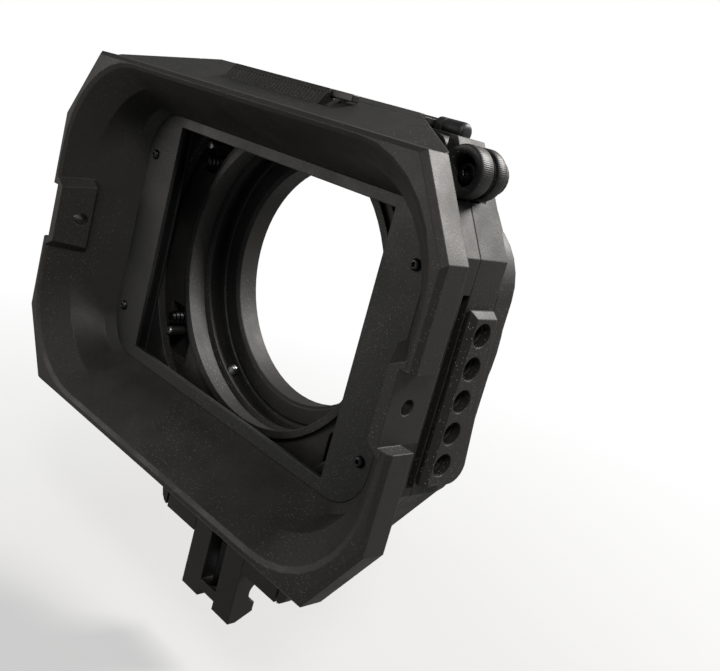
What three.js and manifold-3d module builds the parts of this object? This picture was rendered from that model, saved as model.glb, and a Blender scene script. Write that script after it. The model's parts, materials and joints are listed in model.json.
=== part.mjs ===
// A clip-on matte box: an octagonal sunshade hood with a mask plate, a filter stage with a tray that
// lifts out of its top, a round clamp back with an adapter ring, and a height-adjusting support.
// Millimetres. X to the right seen from the front, Y backwards along the lens axis, Z up.
// Stations along Y are counted from the hood's front face; the finished group is moved so that the
// origin lies on the lens axis in the clamp ring's rear face.

import * as THREE from 'three';
import { ConvexGeometry } from 'three/addons/geometries/ConvexGeometry.js';
import { mergeVertices } from 'three/addons/utils/BufferGeometryUtils.js';
import Module from 'manifold-3d';

const wasm = await Module();
wasm.setup();

// Shared clearances
const overrun = 2;
const weldDistance = 0.0001;
const seatGap = 0.3;
const slideGap = 0.3;
const mergeDepth = 0.6;

// Octagon shared by the stage pieces
const stageHalfWidth = 80.7;
const stageCornerTop = 32;
const stageCornerBottom = -31;
const chamferRiseShare = 1.5;

// Hood
const bezelHalfWidth = 89.4;
const bezelTop = 54.1;
const bezelBottom = -62.3;
const bezelDepth = 8.3;
const bezelChamferWidth = 14.7;
const bezelChamferHeight = 22.2;
const bezelBevel = 1.2;
const hoodDepth = 23.3;
const hoodBodyBottom = -61;
const roofStart = 7;
const roofPitchShare = 0.36;
const roofRibDepth = 3;
const crestStation = 27.4;
const crestHalfWidth = 45.6;
const rimWidth = 3.1;
const mouthHalfWidth = bezelHalfWidth - rimWidth;
const mouthTop = 52;
const mouthBottom = -59;
const mouthRadius = 33;
const mouthBevel = 0.8;
const throatHalfWidth = 67.2;
const throatTop = 40.2;
const throatBottom = -45.3;
const throatRadius = 13.3;
const throatStation = 19;

// Side flag pads on the hood's rim
const padFloorX = 85.2;
const padInnerX = 80.2;
const padTop = 6;
const padBottom = -13.4;
const padRear = 14.1;
const padBossFrontX = 81.8;
const padBossRearX = 74.8;
const padBossDepth = 9.4;
const padBossLift = 2.4;
const padBossRise = 2.8;
const padHoleStation = 6.6;
const padHoleZ = -3.7;
const padHoleRadius = 2.1;

// Open slots in both side walls
const sideSlotFront = 20.8;
const sideSlotTop = 22.8;
const sideSlotBottom = -28.5;
const sideSlotFloorX = 70.5;

// Mask plate in the hood's throat
const maskGap = 0.08;
const maskHalfWidth = throatHalfWidth - maskGap;
const maskTop = throatTop - maskGap;
const maskBottom = throatBottom + maskGap;
const maskRadius = throatRadius - maskGap;
const maskThickness = 1.4;
const windowHalfWidth = 51;
const windowTop = 36.8;
const windowBottom = -41;
const maskScrewX = 63;
const maskScrewTopZ = 25;
const maskScrewBottomZ = -30;
const maskScrewHeadRadius = 1.7;
const maskScrewHeadHeight = 1.1;
const maskScrewRadius = 0.9;
const maskScrewLength = 4.5;

// Stage housing
const housingDepth = 10.9;
const housingTop = 58.4;
const housingBottom = -62;
const stageOpeningRadius = 59.5;
const stageReliefRadius = 62.5;
const stageWallThickness = 3;
const stageOpeningTop = 54;
const stageOpeningBottom = -57;
const tongueHalfHeight = 3;
const tongueThickness = 2.4;
const tongueX = 75.6;
const tongueTopZ = 27;
const tongueBottomZ = -31.8;
const tongueLength = 3;

// Filter tray
const trayHalfWidth = 60.3;
const trayTop = 57.8;
const trayBottom = -54;
const trayThickness = 5.2;
const trayLip = 0.8;
const trayApertureHalfWidth = 54;
const trayApertureHalfHeight = 48;
const trayApertureRadius = 4;
const filterHalfWidth = 57.4;
const filterHalfHeight = 50.9;

// Tray cap with its grip tab in the roof's scoop
const scoopFront = 14;
const scoopFloor = 56.2;
const scoopHalfWidth = 24.5;
const tabFoot = 14.3;
const tabHead = 17.8;
const tabLeftX = -24.2;
const tabRightX = 20;
const tabSmoothBand = 1.2;
const ridgePitch = 1.5;
const ridgeDepth = 0.35;
const capTongueHalfWidth = 50;
const capPinX = 40;
const capPinZ = 54.5;
const capPinRadius = 1;

// Catch that slides out of the tab's right end
const catchFront = 18.3;
const catchRear = 20.9;
const catchBottom = 59.4;
const catchEndX = 29;
const catchTongueLength = 8;
const catchTongueInset = 0.6;
const catchTongueHeight = 1.2;

// Top flag hinge on the back plate
const hingeStation = 38;
const hingeZ = 59.4;
const hingeEyeRadius = 2;
const hingePinRadius = 1.1;
const hingeBoreRadius = 1.2;
const armInnerX = 38.5;
const armOuterX = 44;
const leafFront = 31;
const leafRear = 35;
const leafBottom = 59;
const leafTop = 60.8;
const earInnerX = 44.3;
const earOuterX = 46.7;
const innerEarOuterX = 38.2;
const innerEarInnerX = 35.6;
const pinHeadThickness = 1.2;
const pinThreadLength = 4.5;
const hingeKnobEndX = 54;
const hingeKnobRadius = 2.7;
const hingeKnobBevel = 0.8;

// Accessory plates on the stage's sides
const sidePlateThickness = 2.6;
const sidePlateFront = 23.9;
const sidePlateRearTop = 33.2;
const sidePlateRearBottom = 38.8;
const sidePlateTop = 19.5;
const sidePlateBottom = -27.5;
const sidePlateBevel = 1.6;
const sidePlateCorner = 5;
const accessoryHoleCount = 5;
const accessoryHolePitch = 8.8;
const accessoryHoleTopZ = 13.6;
const accessoryHoleStation = 29.05;
const accessoryHoleRadius = 3.2;
const accessoryHoleDepth = 8;

// Back plate
const backPlateThickness = 6.5;
const backPlateInset = 8.7;
const backPlateCornerTop = 28;
const backPlateCornerBottom = -27;
const backPlateWingTop = 41;
const backPlateWingRadius = 19;
const backPlateTop = 56.5;
const backPlateBottom = -56;
const boreLipHeight = 1.4;
const boreFrontRadius = 46.3;
const boreRearRadius = 48.2;
const boreLipRadius = 48.8;
const fastenerPocketDepth = 4.2;
const fastenerPocketInnerX = 38;
const fastenerPocketOuterX = 52.8;
const fastenerPocketInnerZ = 24;
const fastenerPocketOuterZ = 43.5;
const fastenerPocketRingRadius = 51.5;

// Screws that hold the back plate to the housing
const bodyScrewX = 71;
const bodyScrewZ = 26;
const bodyScrewRadius = 1.4;
const bodyScrewHeadRadius = 2.8;
const bodyScrewHeadHeight = 2.2;
const bodyScrewReach = 5;

// Clamp ring
const clampRingRadius = 61.5;
const clampRingDepth = 30.4;
const clampBoreRadius = 57;
const clampLipDepth = 7.6;
const clampLipFrontRadius = 46.8;
const clampLipRearRadius = 49.6;
const clampLipNoseSetback = 1;
const clampLipFaceRadius = 49;
const clampRingBevel = 1.2;
const clampSlitHalfWidth = 1;
const clampLugOuterX = 72;
const clampLugHalfHeight = 8;
const clampLugFront = 54;
const clampLugRear = 68;
const clampBoltX = 67;
const clampBoltRadius = 2;
const clampKnobRadius = 6;
const clampKnobHeight = 8;

// Fasteners between back plate and clamp ring
const ringScrewX = 46.8;
const ringScrewZ = 28.3;
const ringScrewRadius = 2.2;
const ringScrewRootRadius = 1.6;
const ringScrewPitch = 2.3;
const ringScrewTip = 31;
const ringScrewHeadRadius = 3.1;
const ringScrewHeadHeight = 2.4;
const dowelZ = 33.4;
const dowelRadius = 1.5;
const dowelLength = 16.5;
const dowelBevel = 0.4;

// Adapter ring and the three grub screws in front of it
const adapterThickness = 8.5;
const adapterBoreRadius = 39.6;
const adapterBevel = 1;
const adapterGrooveRadius = 46;
const adapterGrooveWidth = 1.2;
const adapterGrooveDepth = 0.6;
const grubScrewAngles = [118, 238, 358];
const grubScrewSetback = 4.4;
const grubScrewRadius = 1.9;
const grubScrewTipRadius = 1.3;
const grubScrewTipLength = 1.2;
const grubScrewInnerEnd = 45.2;
const grubScrewOuterEnd = 60.8;
const hexRadius = 1.1;
const hexDepth = 2;

// Ring knob that holds the hood on the stage
const lockKnobX = 72.5;
const lockKnobZ = 51;
const lockKnobRadius = 6.4;
const lockKnobHoleRadius = 4;
const lockKnobFront = 17;
const lockKnobRear = 27;
const lockKnobHoleDepth = 5;
const lockKnobGrooveRadius = 5.2;
const lockKnobGrooveFront = 21.6;
const lockKnobGrooveRear = 23.5;
const lockKnobBevel = 0.7;
const lockPocketGap = 0.6;
const lockLugRadius = 4.6;
const lockLugReach = 9;
const lockLugThickness = 2.6;
const lockScrewRadius = 1.9;
const lockScrewHeadRadius = 3.2;
const lockScrewHeadHeight = 2.6;

// Support under the stage
const supportHalfWidth = 37;
const supportTop = -50.6;
const supportStep = -61.5;
const supportBottom = -96;
const supportFront = 37;
const supportRear = 41;
const supportCorner = 5;
const kerfInset = 4.5;
const kerfWidth = 1.2;
const kerfHeight = 5;
const bossHalfWidth = 8;
const bossTop = -63;
const bossBottom = -72;
const bossRear = 46.5;
const supportScrewInset = 4;
const supportScrewZ = -56.5;
const supportScrewRadius = 1.4;
const supportScrewHeadRadius = 2.6;
const supportScrewHeadHeight = 2.2;
const supportScrewReach = 4;
const slideHalfWidth = 14;
const channelHalfWidth = 4.5;
const slideTop = -75;
const slideBottom = -116;
const slideRear = 46.6;
const slideWeb = 2.2;
const slideFootWeb = 3.4;
const slideFootSetback = 3;
const slideToe = 3.2;
const rodNotchStation = 47.3;
const rodNotchZ = -105.4;
const rodNotchRadius = 4;
const guideRodStation = 41;
const guideRodRadius = 2;
const guideRodTop = -65;
const guideRodBottom = -113;
const slideLockZ = -86;
const slideLockRadius = 1.9;
const slideKnobRadius = 7;
const slideKnobNeck = 3.4;
const slideKnobHeight = 8;
const slideKnobLobes = 6;
const lobeShare = 0.09;

// Stations and sizes that follow from the ones above
const housingFront = hoodDepth + seatGap;
const housingRear = housingFront + housingDepth;
const trayFront = housingFront + slideGap;
const trayRear = trayFront + trayThickness;
const traySlotRear = trayRear + slideGap;
const backPlateFront = housingRear + seatGap;
const backPlateRear = backPlateFront + backPlateThickness;
const clampRingFront = backPlateRear + seatGap;
const clampRingRear = clampRingFront + clampRingDepth;
const clampLipRear = clampRingFront + clampLipDepth;
const adapterFront = clampLipRear + seatGap;
const clampBoltStation = (clampLugFront + clampLugRear) / 2;
const kerfX = supportHalfWidth - kerfInset;
const supportScrewX = supportHalfWidth - supportScrewInset;
const fineSides = 72;
const roundSides = 24;
const smallSides = 12;

const sides = [-1, 1];

// Materials
const nylon = (tone, roughness) => new THREE.MeshStandardMaterial({ color: tone, roughness, metalness: 0 });
const steel = (tone, roughness) => new THREE.MeshStandardMaterial({ color: tone, roughness, metalness: 1 });
const hoodBlack = nylon(0x2a2826, 0.72);
const stageBlack = nylon(0x2e2c2a, 0.78);
const trayBlack = nylon(0x1f1e1e, 0.6);
const anodisedBlack = nylon(0x1b1b1c, 0.45);
const screwBlack = steel(0x3a3a3c, 0.42);
const brightSteel = steel(0xb9bcbe, 0.28);

// A closed three.js geometry as a solid for joining and cutting
function solid(geometry) {
  const bare = geometry.clone();
  bare.deleteAttribute('normal');
  bare.deleteAttribute('uv');
  const welded = mergeVertices(bare, weldDistance);
  const vertProperties = new Float32Array(welded.attributes.position.array);
  const triVerts = new Uint32Array(welded.index.array);
  return new wasm.Manifold(new wasm.Mesh({ numProp: 3, vertProperties, triVerts }));
}

// The solid's surface as a named mesh
function piece(name, shape, material) {
  const { vertProperties, triVerts } = shape.getMesh();
  const geometry = new THREE.BufferGeometry();
  geometry.setAttribute('position', new THREE.BufferAttribute(new Float32Array(vertProperties), 3));
  geometry.setIndex(new THREE.BufferAttribute(new Uint32Array(triVerts), 1));
  geometry.computeVertexNormals();
  const mesh = new THREE.Mesh(geometry, material);
  mesh.name = name;
  return mesh;
}

const join = (shapes) => shapes.reduce((sum, shape) => sum.add(shape));
const cut = (body, cutters) => cutters.reduce((rest, cutter) => rest.subtract(cutter), body);

// A straight extrusion of an outline given as [across, up] points
function extrusion(points, depth) {
  const shape = new THREE.Shape(points.map(([a, b]) => new THREE.Vector2(a, b)));
  return new THREE.ExtrudeGeometry(shape, { depth, bevelEnabled: false, curveSegments: smallSides });
}

// Outline in X and Z, between two stations
function prismY(points, front, rear) {
  return solid(extrusion(points, rear - front).rotateX(Math.PI / 2).translate(0, rear, 0));
}

// Outline in Y and Z, between two X values
function prismX(points, left, right) {
  const turn = new THREE.Matrix4().makeBasis(
    new THREE.Vector3(0, 1, 0),
    new THREE.Vector3(0, 0, 1),
    new THREE.Vector3(1, 0, 0),
  );
  return solid(extrusion(points, right - left).applyMatrix4(turn).translate(left, 0, 0));
}

// Outline in X and Y, between two heights
function prismZ(points, bottom, top) {
  return solid(extrusion(points, top - bottom).translate(0, 0, bottom));
}

function block([left, right], [front, rear], [bottom, top]) {
  const box = new THREE.BoxGeometry(right - left, rear - front, top - bottom);
  return solid(box.translate((left + right) / 2, (front + rear) / 2, (bottom + top) / 2));
}

// A block and its copy mirrored to the other side of the lens axis
function sideBlock(side, [inner, outer], stations, heights) {
  const ends = [side * inner, side * outer].sort((a, b) => a - b);
  return block(ends, stations, heights);
}

function rodX(left, right, station, z, radius, count = smallSides) {
  const rod = new THREE.CylinderGeometry(radius, radius, right - left, count);
  return solid(rod.rotateZ(-Math.PI / 2).translate((left + right) / 2, station, z));
}

function rodY(x, z, radius, front, rear, count = smallSides) {
  const rod = new THREE.CylinderGeometry(radius, radius, rear - front, count);
  return solid(rod.translate(x, (front + rear) / 2, z));
}

function rodZ(x, station, radius, bottom, top, count = smallSides) {
  const rod = new THREE.CylinderGeometry(radius, radius, top - bottom, count);
  return solid(rod.rotateX(Math.PI / 2).translate(x, station, (bottom + top) / 2));
}

// A profile of [radius, station] points turned round a line parallel to Y
function turnedY(x, z, profile, count) {
  const points = profile.map(([radius, station]) => new THREE.Vector2(radius, station));
  return solid(new THREE.LatheGeometry(points, count).translate(x, 0, z));
}

// Sections with equal numbers of [x, z] points, one after the other along Y
function loft(sections) {
  const count = sections[0].points.length;
  const positions = sections.flatMap(({ station, points }) => points.flatMap(([x, z]) => [x, station, z]));
  const index = [];
  for (let level = 0; level < sections.length - 1; level += 1) {
    for (let corner = 0; corner < count; corner += 1) {
      const next = (corner + 1) % count;
      const a = level * count + corner;
      const b = level * count + next;
      const c = b + count;
      const d = a + count;
      index.push(a, c, b, a, d, c);
    }
  }
  const cap = (level, flip) => {
    const outline = sections[level].points.map(([x, z]) => new THREE.Vector2(x, z));
    const base = level * count;
    for (const [a, b, c] of THREE.ShapeUtils.triangulateShape(outline, [])) {
      index.push(base + a, base + (flip ? c : b), base + (flip ? b : c));
    }
  };
  cap(0, false);
  cap(sections.length - 1, true);
  const geometry = new THREE.BufferGeometry();
  geometry.setAttribute('position', new THREE.Float32BufferAttribute(positions, 3));
  geometry.setIndex(index);
  return solid(geometry);
}

// Counter-clockwise outlines seen from the front
function roundedBox(halfWidth, bottom, top, radius, stepsPerCorner = 8) {
  const centres = [
    [halfWidth - radius, bottom + radius, -Math.PI / 2],
    [halfWidth - radius, top - radius, 0],
    [radius - halfWidth, top - radius, Math.PI / 2],
    [radius - halfWidth, bottom + radius, Math.PI],
  ];
  return centres.flatMap(([x, z, start]) =>
    Array.from({ length: stepsPerCorner + 1 }, (_, step) => {
      const angle = start + (step / stepsPerCorner) * (Math.PI / 2);
      return [x + radius * Math.cos(angle), z + radius * Math.sin(angle)];
    }),
  );
}

function mirrored(rightHalf) {
  return [...rightHalf, ...rightHalf.map(([x, z]) => [-x, z]).reverse()];
}

function bezelOutline(inset) {
  const edge = bezelHalfWidth - inset;
  return mirrored([
    [edge - bezelChamferWidth, bezelBottom + inset],
    [edge, bezelBottom + inset + bezelChamferHeight],
    [edge, bezelTop - inset - bezelChamferHeight],
    [edge - bezelChamferWidth, bezelTop - inset],
  ]);
}

// The stage octagon, cut off level at a bottom and a top
function octagon(halfWidth, cornerBottom, cornerTop, bottom, top) {
  return mirrored([
    [halfWidth - (cornerBottom - bottom) / chamferRiseShare, bottom],
    [halfWidth, cornerBottom],
    [halfWidth, cornerTop],
    [halfWidth - (top - cornerTop) / chamferRiseShare, top],
  ]);
}

const stageOctagon = (bottom, top) =>
  octagon(stageHalfWidth, stageCornerBottom, stageCornerTop, bottom, top);

const maskFront = hoodDepth - maskThickness;

// The funnel's opening at a station; its corners keep the mouth's radius through the bezel
function funnelSection(station, inset) {
  const wayShare = Math.min(station / maskFront, 1);
  const cornerShare = THREE.MathUtils.clamp((station - bezelDepth) / (throatStation - bezelDepth), 0, 1);
  const between = (mouth, throat, share) => mouth + (throat - mouth) * share;
  return {
    station,
    points: roundedBox(
      between(mouthHalfWidth, throatHalfWidth, wayShare) + inset,
      between(mouthBottom, throatBottom, wayShare) - inset,
      between(mouthTop, throatTop, wayShare) + inset,
      between(mouthRadius, throatRadius, cornerShare) + inset,
    ),
  };
}

function sideSlots() {
  return sides.map((side) =>
    sideBlock(
      side,
      [sideSlotFloorX, bezelHalfWidth],
      [sideSlotFront, hoodDepth + overrun],
      [sideSlotBottom, sideSlotTop],
    ),
  );
}

// Space round the ring knob, in the hood and in the housing
function lockPocket(front, rear, radius) {
  return rodY(lockKnobX, lockKnobZ, radius, front, rear, roundSides);
}

function tongues(gap) {
  return sides.flatMap((side) =>
    [tongueTopZ, tongueBottomZ].map((z) => {
      const x = side * tongueX;
      return block(
        [x - tongueThickness / 2 - gap, x + tongueThickness / 2 + gap],
        [hoodDepth - mergeDepth, hoodDepth + tongueLength + gap],
        [z - tongueHalfHeight - gap, z + tongueHalfHeight + gap],
      );
    }),
  );
}

// Raised block inside the mouth that backs a side flag's pad
function padBoss(side) {
  const wallShare = padBossDepth / maskFront;
  const rearWallX = mouthHalfWidth + (throatHalfWidth - mouthHalfWidth) * wallShare;
  const corners = [
    [padBossFrontX, 0, padBottom, padTop],
    [padBossRearX, padBossDepth, padBottom, padTop + padBossLift],
    [mouthHalfWidth + mergeDepth, 0, padBottom - padBossRise, padTop + padBossRise],
    [
      rearWallX + mergeDepth,
      padBossDepth,
      padBottom - padBossRise,
      padTop + padBossLift + padBossRise,
    ],
  ];
  const points = corners.flatMap(([x, station, bottom, top]) => [
    new THREE.Vector3(side * x, station, bottom),
    new THREE.Vector3(side * x, station, top),
  ]);
  return solid(new ConvexGeometry(points));
}

function hood() {
  const bezel = loft([
    { station: 0, points: bezelOutline(bezelBevel) },
    { station: bezelBevel, points: bezelOutline(0) },
    { station: bezelDepth, points: bezelOutline(0) },
  ]);
  const body = prismY(stageOctagon(hoodBodyBottom, bezelTop), bezelDepth - mergeDepth, hoodDepth);
  const ribBottom = bezelTop - roofRibDepth;
  const roof = prismX(
    [
      [roofStart, ribBottom],
      [hoodDepth, ribBottom],
      [hoodDepth, roofHeight(hoodDepth)],
      [roofStart, bezelTop],
    ],
    -bezelHalfWidth,
    bezelHalfWidth,
  ).intersect(prismZ(roofPlan, ribBottom - overrun, capTop + overrun));
  const scoop = block(
    [-scoopHalfWidth, scoopHalfWidth],
    [scoopFront, hoodDepth + overrun],
    [scoopFloor, capTop + overrun],
  );
  const pads = sides.map((side) =>
    sideBlock(side, [padInnerX, padFloorX], [bezelDepth - mergeDepth, padRear], [padBottom, padTop]),
  );
  const funnel = loft([
    { ...funnelSection(0, mouthBevel), station: -overrun },
    funnelSection(0, mouthBevel),
    funnelSection(mouthBevel, 0),
    funnelSection(bezelDepth, 0),
    funnelSection((bezelDepth + throatStation) / 2, 0),
    funnelSection(throatStation, 0),
    funnelSection(maskFront, 0),
    funnelSection(hoodDepth, 0),
    { ...funnelSection(hoodDepth, 0), station: hoodDepth + overrun },
  ]);
  const bosses = sides.map(padBoss);
  const recesses = sides.map((side) =>
    sideBlock(
      side,
      [padFloorX, bezelHalfWidth + overrun],
      [-overrun, bezelDepth + overrun],
      [padBottom, padTop],
    ),
  );
  const padHoles = rodX(
    -bezelHalfWidth - overrun,
    bezelHalfWidth + overrun,
    padHoleStation,
    padHoleZ,
    padHoleRadius,
  );
  const shelfFront = lockKnobGrooveFront + slideGap;
  const knobPockets = [
    lockPocket(lockKnobFront - lockPocketGap, shelfFront, lockKnobRadius + lockPocketGap),
    lockPocket(shelfFront - mergeDepth, hoodDepth + overrun, lockKnobGrooveRadius + lockPocketGap),
  ];
  const shell = join([bezel, body, roof, ...pads]);
  const hollow = join([cut(shell, [funnel]), ...bosses, ...tongues(0)]);
  return cut(hollow, [...recesses, padHoles, scoop, ...sideSlots(), ...knobPockets]);
}

const maskScrewPlaces = sides.flatMap((side) =>
  [maskScrewTopZ, maskScrewBottomZ].map((z) => [side * maskScrewX, z]),
);

function hoodMask() {
  const plate = prismY(roundedBox(maskHalfWidth, maskBottom, maskTop, maskRadius), maskFront, hoodDepth);
  const opening = block(
    [-windowHalfWidth, windowHalfWidth],
    [maskFront - overrun, hoodDepth + overrun],
    [windowBottom, windowTop],
  );
  const holes = maskScrewPlaces.map(([x, z]) =>
    rodY(x, z, maskScrewRadius + slideGap, maskFront - overrun, hoodDepth + overrun),
  );
  return cut(plate, [opening, ...holes]);
}

function maskScrew([x, z]) {
  const headFront = maskFront - maskScrewHeadHeight;
  const tip = maskFront + maskScrewLength;
  return turnedY(
    x,
    z,
    [
      [0, headFront],
      [maskScrewHeadRadius - maskScrewHeadHeight / 2, headFront],
      [maskScrewHeadRadius, headFront + maskScrewHeadHeight / 2],
      [maskScrewHeadRadius, maskFront],
      [maskScrewRadius, maskFront],
      [maskScrewRadius, tip],
      [0, tip],
    ],
    smallSides,
  );
}

// Places of the five accessory holes down each side
const accessoryHoleHeights = Array.from(
  { length: accessoryHoleCount },
  (_, step) => accessoryHoleTopZ - step * accessoryHolePitch,
);

function accessoryHoles() {
  const reach = stageHalfWidth + sidePlateThickness + overrun;
  return sides.flatMap((side) =>
    accessoryHoleHeights.map((z) => {
      const ends = [side * (stageHalfWidth - accessoryHoleDepth), side * reach].sort((a, b) => a - b);
      return rodX(ends[0], ends[1], accessoryHoleStation, z, accessoryHoleRadius, roundSides);
    }),
  );
}

function stageHousing() {
  const shell = prismY(stageOctagon(housingBottom, housingTop), housingFront, housingRear);
  const lugFront = lockKnobRear + seatGap;
  const lugRear = lugFront + lockLugThickness;
  const lug = join([
    rodY(lockKnobX, lockKnobZ, lockLugRadius, lugFront, lugRear, roundSides),
    block(
      [lockKnobX - lockLugReach, lockKnobX],
      [lugFront, lugRear],
      [lockKnobZ - lockLugReach, lockKnobZ],
    ),
  ]);
  const slot = block(
    [-trayHalfWidth - slideGap, trayHalfWidth + slideGap],
    [housingFront - overrun, traySlotRear],
    [trayBottom - slideGap, housingTop + overrun],
  );
  const wallFront = traySlotRear - mergeDepth;
  const wallRear = traySlotRear + stageWallThickness;
  const stageOpening = join([
    rodY(0, 0, stageOpeningRadius, wallFront, wallRear + mergeDepth, fineSides),
    rodY(0, 0, stageReliefRadius, wallRear, housingRear + overrun, fineSides),
  ]).intersect(
    block(
      [-stageHalfWidth, stageHalfWidth],
      [wallFront, housingRear + overrun],
      [stageOpeningBottom, stageOpeningTop],
    ),
  );
  const screwHoles = [
    ...bodyScrewPlaces.map(([x, z]) =>
      rodY(x, z, bodyScrewRadius + slideGap, housingRear - bodyScrewReach, housingRear + overrun),
    ),
    ...supportScrewPlaces.map(([x, z]) =>
      rodY(x, z, supportScrewRadius + slideGap, housingRear - supportScrewReach, housingRear + overrun),
    ),
    ...maskScrewPlaces.map(([x, z]) =>
      rodY(x, z, maskScrewRadius + slideGap, housingFront - overrun, maskFront + maskScrewLength + slideGap),
    ),
    rodY(lockKnobX, lockKnobZ, lockScrewRadius + slideGap, lugFront - overrun, housingRear + overrun),
  ];
  const knobSpace = lockPocket(housingFront - overrun, lugFront, lockKnobRadius + lockPocketGap);
  return cut(join([shell, lug]), [
    slot,
    stageOpening,
    ...screwHoles,
    knobSpace,
    ...tongues(slideGap),
    ...accessoryHoles(),
  ]);
}

const capPinPlaces = sides.map((side) => [side * capPinX, capPinZ]);

function capPinHoles() {
  return capPinPlaces.map(([x, z]) =>
    rodY(x, z, capPinRadius + seatGap, trayFront - overrun, trayRear + overrun),
  );
}

function trayFrame() {
  const frame = prismY(roundedBox(trayHalfWidth, trayBottom, trayTop, trayApertureRadius), trayFront, trayRear);
  const aperture = prismY(
    roundedBox(trayApertureHalfWidth, -trayApertureHalfHeight, trayApertureHalfHeight, trayApertureRadius),
    trayFront - overrun,
    trayRear + overrun,
  );
  const filterSlot = block(
    [-filterHalfWidth, filterHalfWidth],
    [trayFront + trayLip, trayRear - trayLip],
    [-filterHalfHeight, trayTop + overrun],
  );
  return cut(frame, [aperture, filterSlot, ...capPinHoles()]);
}

// The roof's sloping plane, and its plan with the crest at the rear
const roofHeight = (station) => bezelTop + (station - roofStart) * roofPitchShare;
const capTop = roofHeight(crestStation);
const roofFrontHalfWidth = bezelHalfWidth - bezelChamferWidth;
const roofEdgeShare = (roofFrontHalfWidth - crestHalfWidth) / (crestStation - bezelDepth);
const roofHalfWidth = (station) => crestHalfWidth + (crestStation - station) * roofEdgeShare;
const roofPlan = mirrored([
  [roofFrontHalfWidth, roofStart],
  [roofFrontHalfWidth, bezelDepth],
  [crestHalfWidth, crestStation],
]);

// Tongue of the catch, and with a gap the slot for it in the tab
function catchTongue(gap) {
  return block(
    [tabRightX - catchTongueLength - gap, tabRightX + seatGap + mergeDepth],
    [catchFront + catchTongueInset - gap, catchRear - catchTongueInset + gap],
    [catchBottom - gap, catchBottom + catchTongueHeight + gap],
  );
}

// Closes the roof over the tray; a tongue between the tray's lips carries it
function trayCap() {
  const capBottom = trayTop + seatGap;
  const tabBottom = scoopFloor + seatGap;
  const crest = prismX(
    [
      [housingFront, capBottom],
      [trayRear, capBottom],
      [trayRear, capTop],
      [crestStation, capTop],
      [housingFront, roofHeight(housingFront)],
    ],
    -stageHalfWidth,
    stageHalfWidth,
  ).intersect(
    prismZ(
      mirrored([
        [roofHalfWidth(housingFront), housingFront],
        [crestHalfWidth, crestStation],
        [crestHalfWidth, trayRear],
      ]),
      tabBottom,
      capTop + overrun,
    ),
  );
  const tab = prismX(
    [
      [tabFoot, tabBottom],
      [housingFront, tabBottom],
      [housingFront, capBottom],
      [crestStation, capBottom],
      [crestStation, capTop],
      [tabHead, capTop],
    ],
    tabLeftX,
    tabRightX,
  );
  const tongue = block(
    [-capTongueHalfWidth, capTongueHalfWidth],
    [trayFront + trayLip + seatGap, trayRear - trayLip - seatGap],
    [filterHalfHeight + seatGap, capBottom + mergeDepth],
  );
  const slopeShare = (tabHead - tabFoot) / (capTop - tabBottom);
  const face = (z) => tabFoot + (z - tabBottom) * slopeShare;
  const ridgeLow = tabBottom - overrun;
  const ridgeHigh = capTop - tabSmoothBand;
  const grooveOutline = [
    [face(ridgeLow) - ridgeDepth, ridgeLow],
    [face(ridgeLow) + ridgeDepth, ridgeLow],
    [face(ridgeHigh) + ridgeDepth, ridgeHigh],
    [face(ridgeHigh) - ridgeDepth, ridgeHigh],
  ];
  const grooveCount = Math.floor((tabRightX - tabLeftX) / ridgePitch) - 1;
  const grooves = Array.from({ length: grooveCount }, (_, step) => {
    const left = tabLeftX + ridgePitch * (step + 1);
    return prismX(grooveOutline, left, left + ridgePitch / 2);
  });
  const catchSlot = catchTongue(slideGap).add(
    block(
      [tabRightX - mergeDepth, tabRightX + overrun],
      [catchFront + catchTongueInset - slideGap, catchRear - catchTongueInset + slideGap],
      [catchBottom - slideGap, catchBottom + catchTongueHeight + slideGap],
    ),
  );
  return cut(join([crest, tab, tongue]), [...grooves, catchSlot, ...capPinHoles()]);
}

function trayCatch() {
  const lug = block([tabRightX + seatGap, catchEndX], [catchFront, catchRear], [catchBottom, capTop]);
  return join([lug, catchTongue(0)]);
}

const capPin = ([x, z]) => rodY(x, z, capPinRadius, trayFront, trayRear);

const hingeEye = (left, right, radius = hingeEyeRadius) =>
  rodX(left, right, hingeStation, hingeZ, radius, roundSides);

// Narrow leaf that a top flag is screwed to
function flagLeaf() {
  const flap = block([-armOuterX, armOuterX], [leafFront, leafRear], [leafBottom, leafTop]);
  const arms = sides.map((side) => {
    const ends = [side * armInnerX, side * armOuterX].sort((a, b) => a - b);
    const beam = block(ends, [leafRear - mergeDepth, hingeStation], [leafBottom, leafTop]);
    return join([beam, hingeEye(ends[0], ends[1])]);
  });
  const bore = rodX(-armOuterX - overrun, armOuterX + overrun, hingeStation, hingeZ, hingeBoreRadius);
  return cut(join([flap, ...arms]), [bore]);
}

function hingePin() {
  const shaft = rodX(-earOuterX, earOuterX + pinThreadLength, hingeStation, hingeZ, hingePinRadius);
  const headEnd = -earOuterX - seatGap;
  const head = rodX(headEnd - pinHeadThickness, headEnd, hingeStation, hingeZ, hingeEyeRadius, roundSides);
  const neck = rodX(headEnd - mergeDepth, -earOuterX, hingeStation, hingeZ, hingePinRadius);
  return join([shaft, neck, head]);
}

function hingeKnob() {
  const inner = earOuterX + seatGap;
  const profile = [
    [0, hingeKnobEndX],
    [hingeBoreRadius, hingeKnobEndX],
    [hingeKnobRadius - hingeKnobBevel, hingeKnobEndX],
    [hingeKnobRadius, hingeKnobEndX - hingeKnobBevel],
    [hingeKnobRadius, inner],
    [hingeBoreRadius, inner],
    [hingeBoreRadius, earOuterX + pinThreadLength + seatGap],
    [0, earOuterX + pinThreadLength + seatGap],
  ].reverse();
  const points = profile.map(([radius, x]) => new THREE.Vector2(radius, x));
  const lathe = new THREE.LatheGeometry(points, roundSides);
  return solid(lathe.rotateZ(-Math.PI / 2).translate(0, hingeStation, hingeZ));
}

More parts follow.
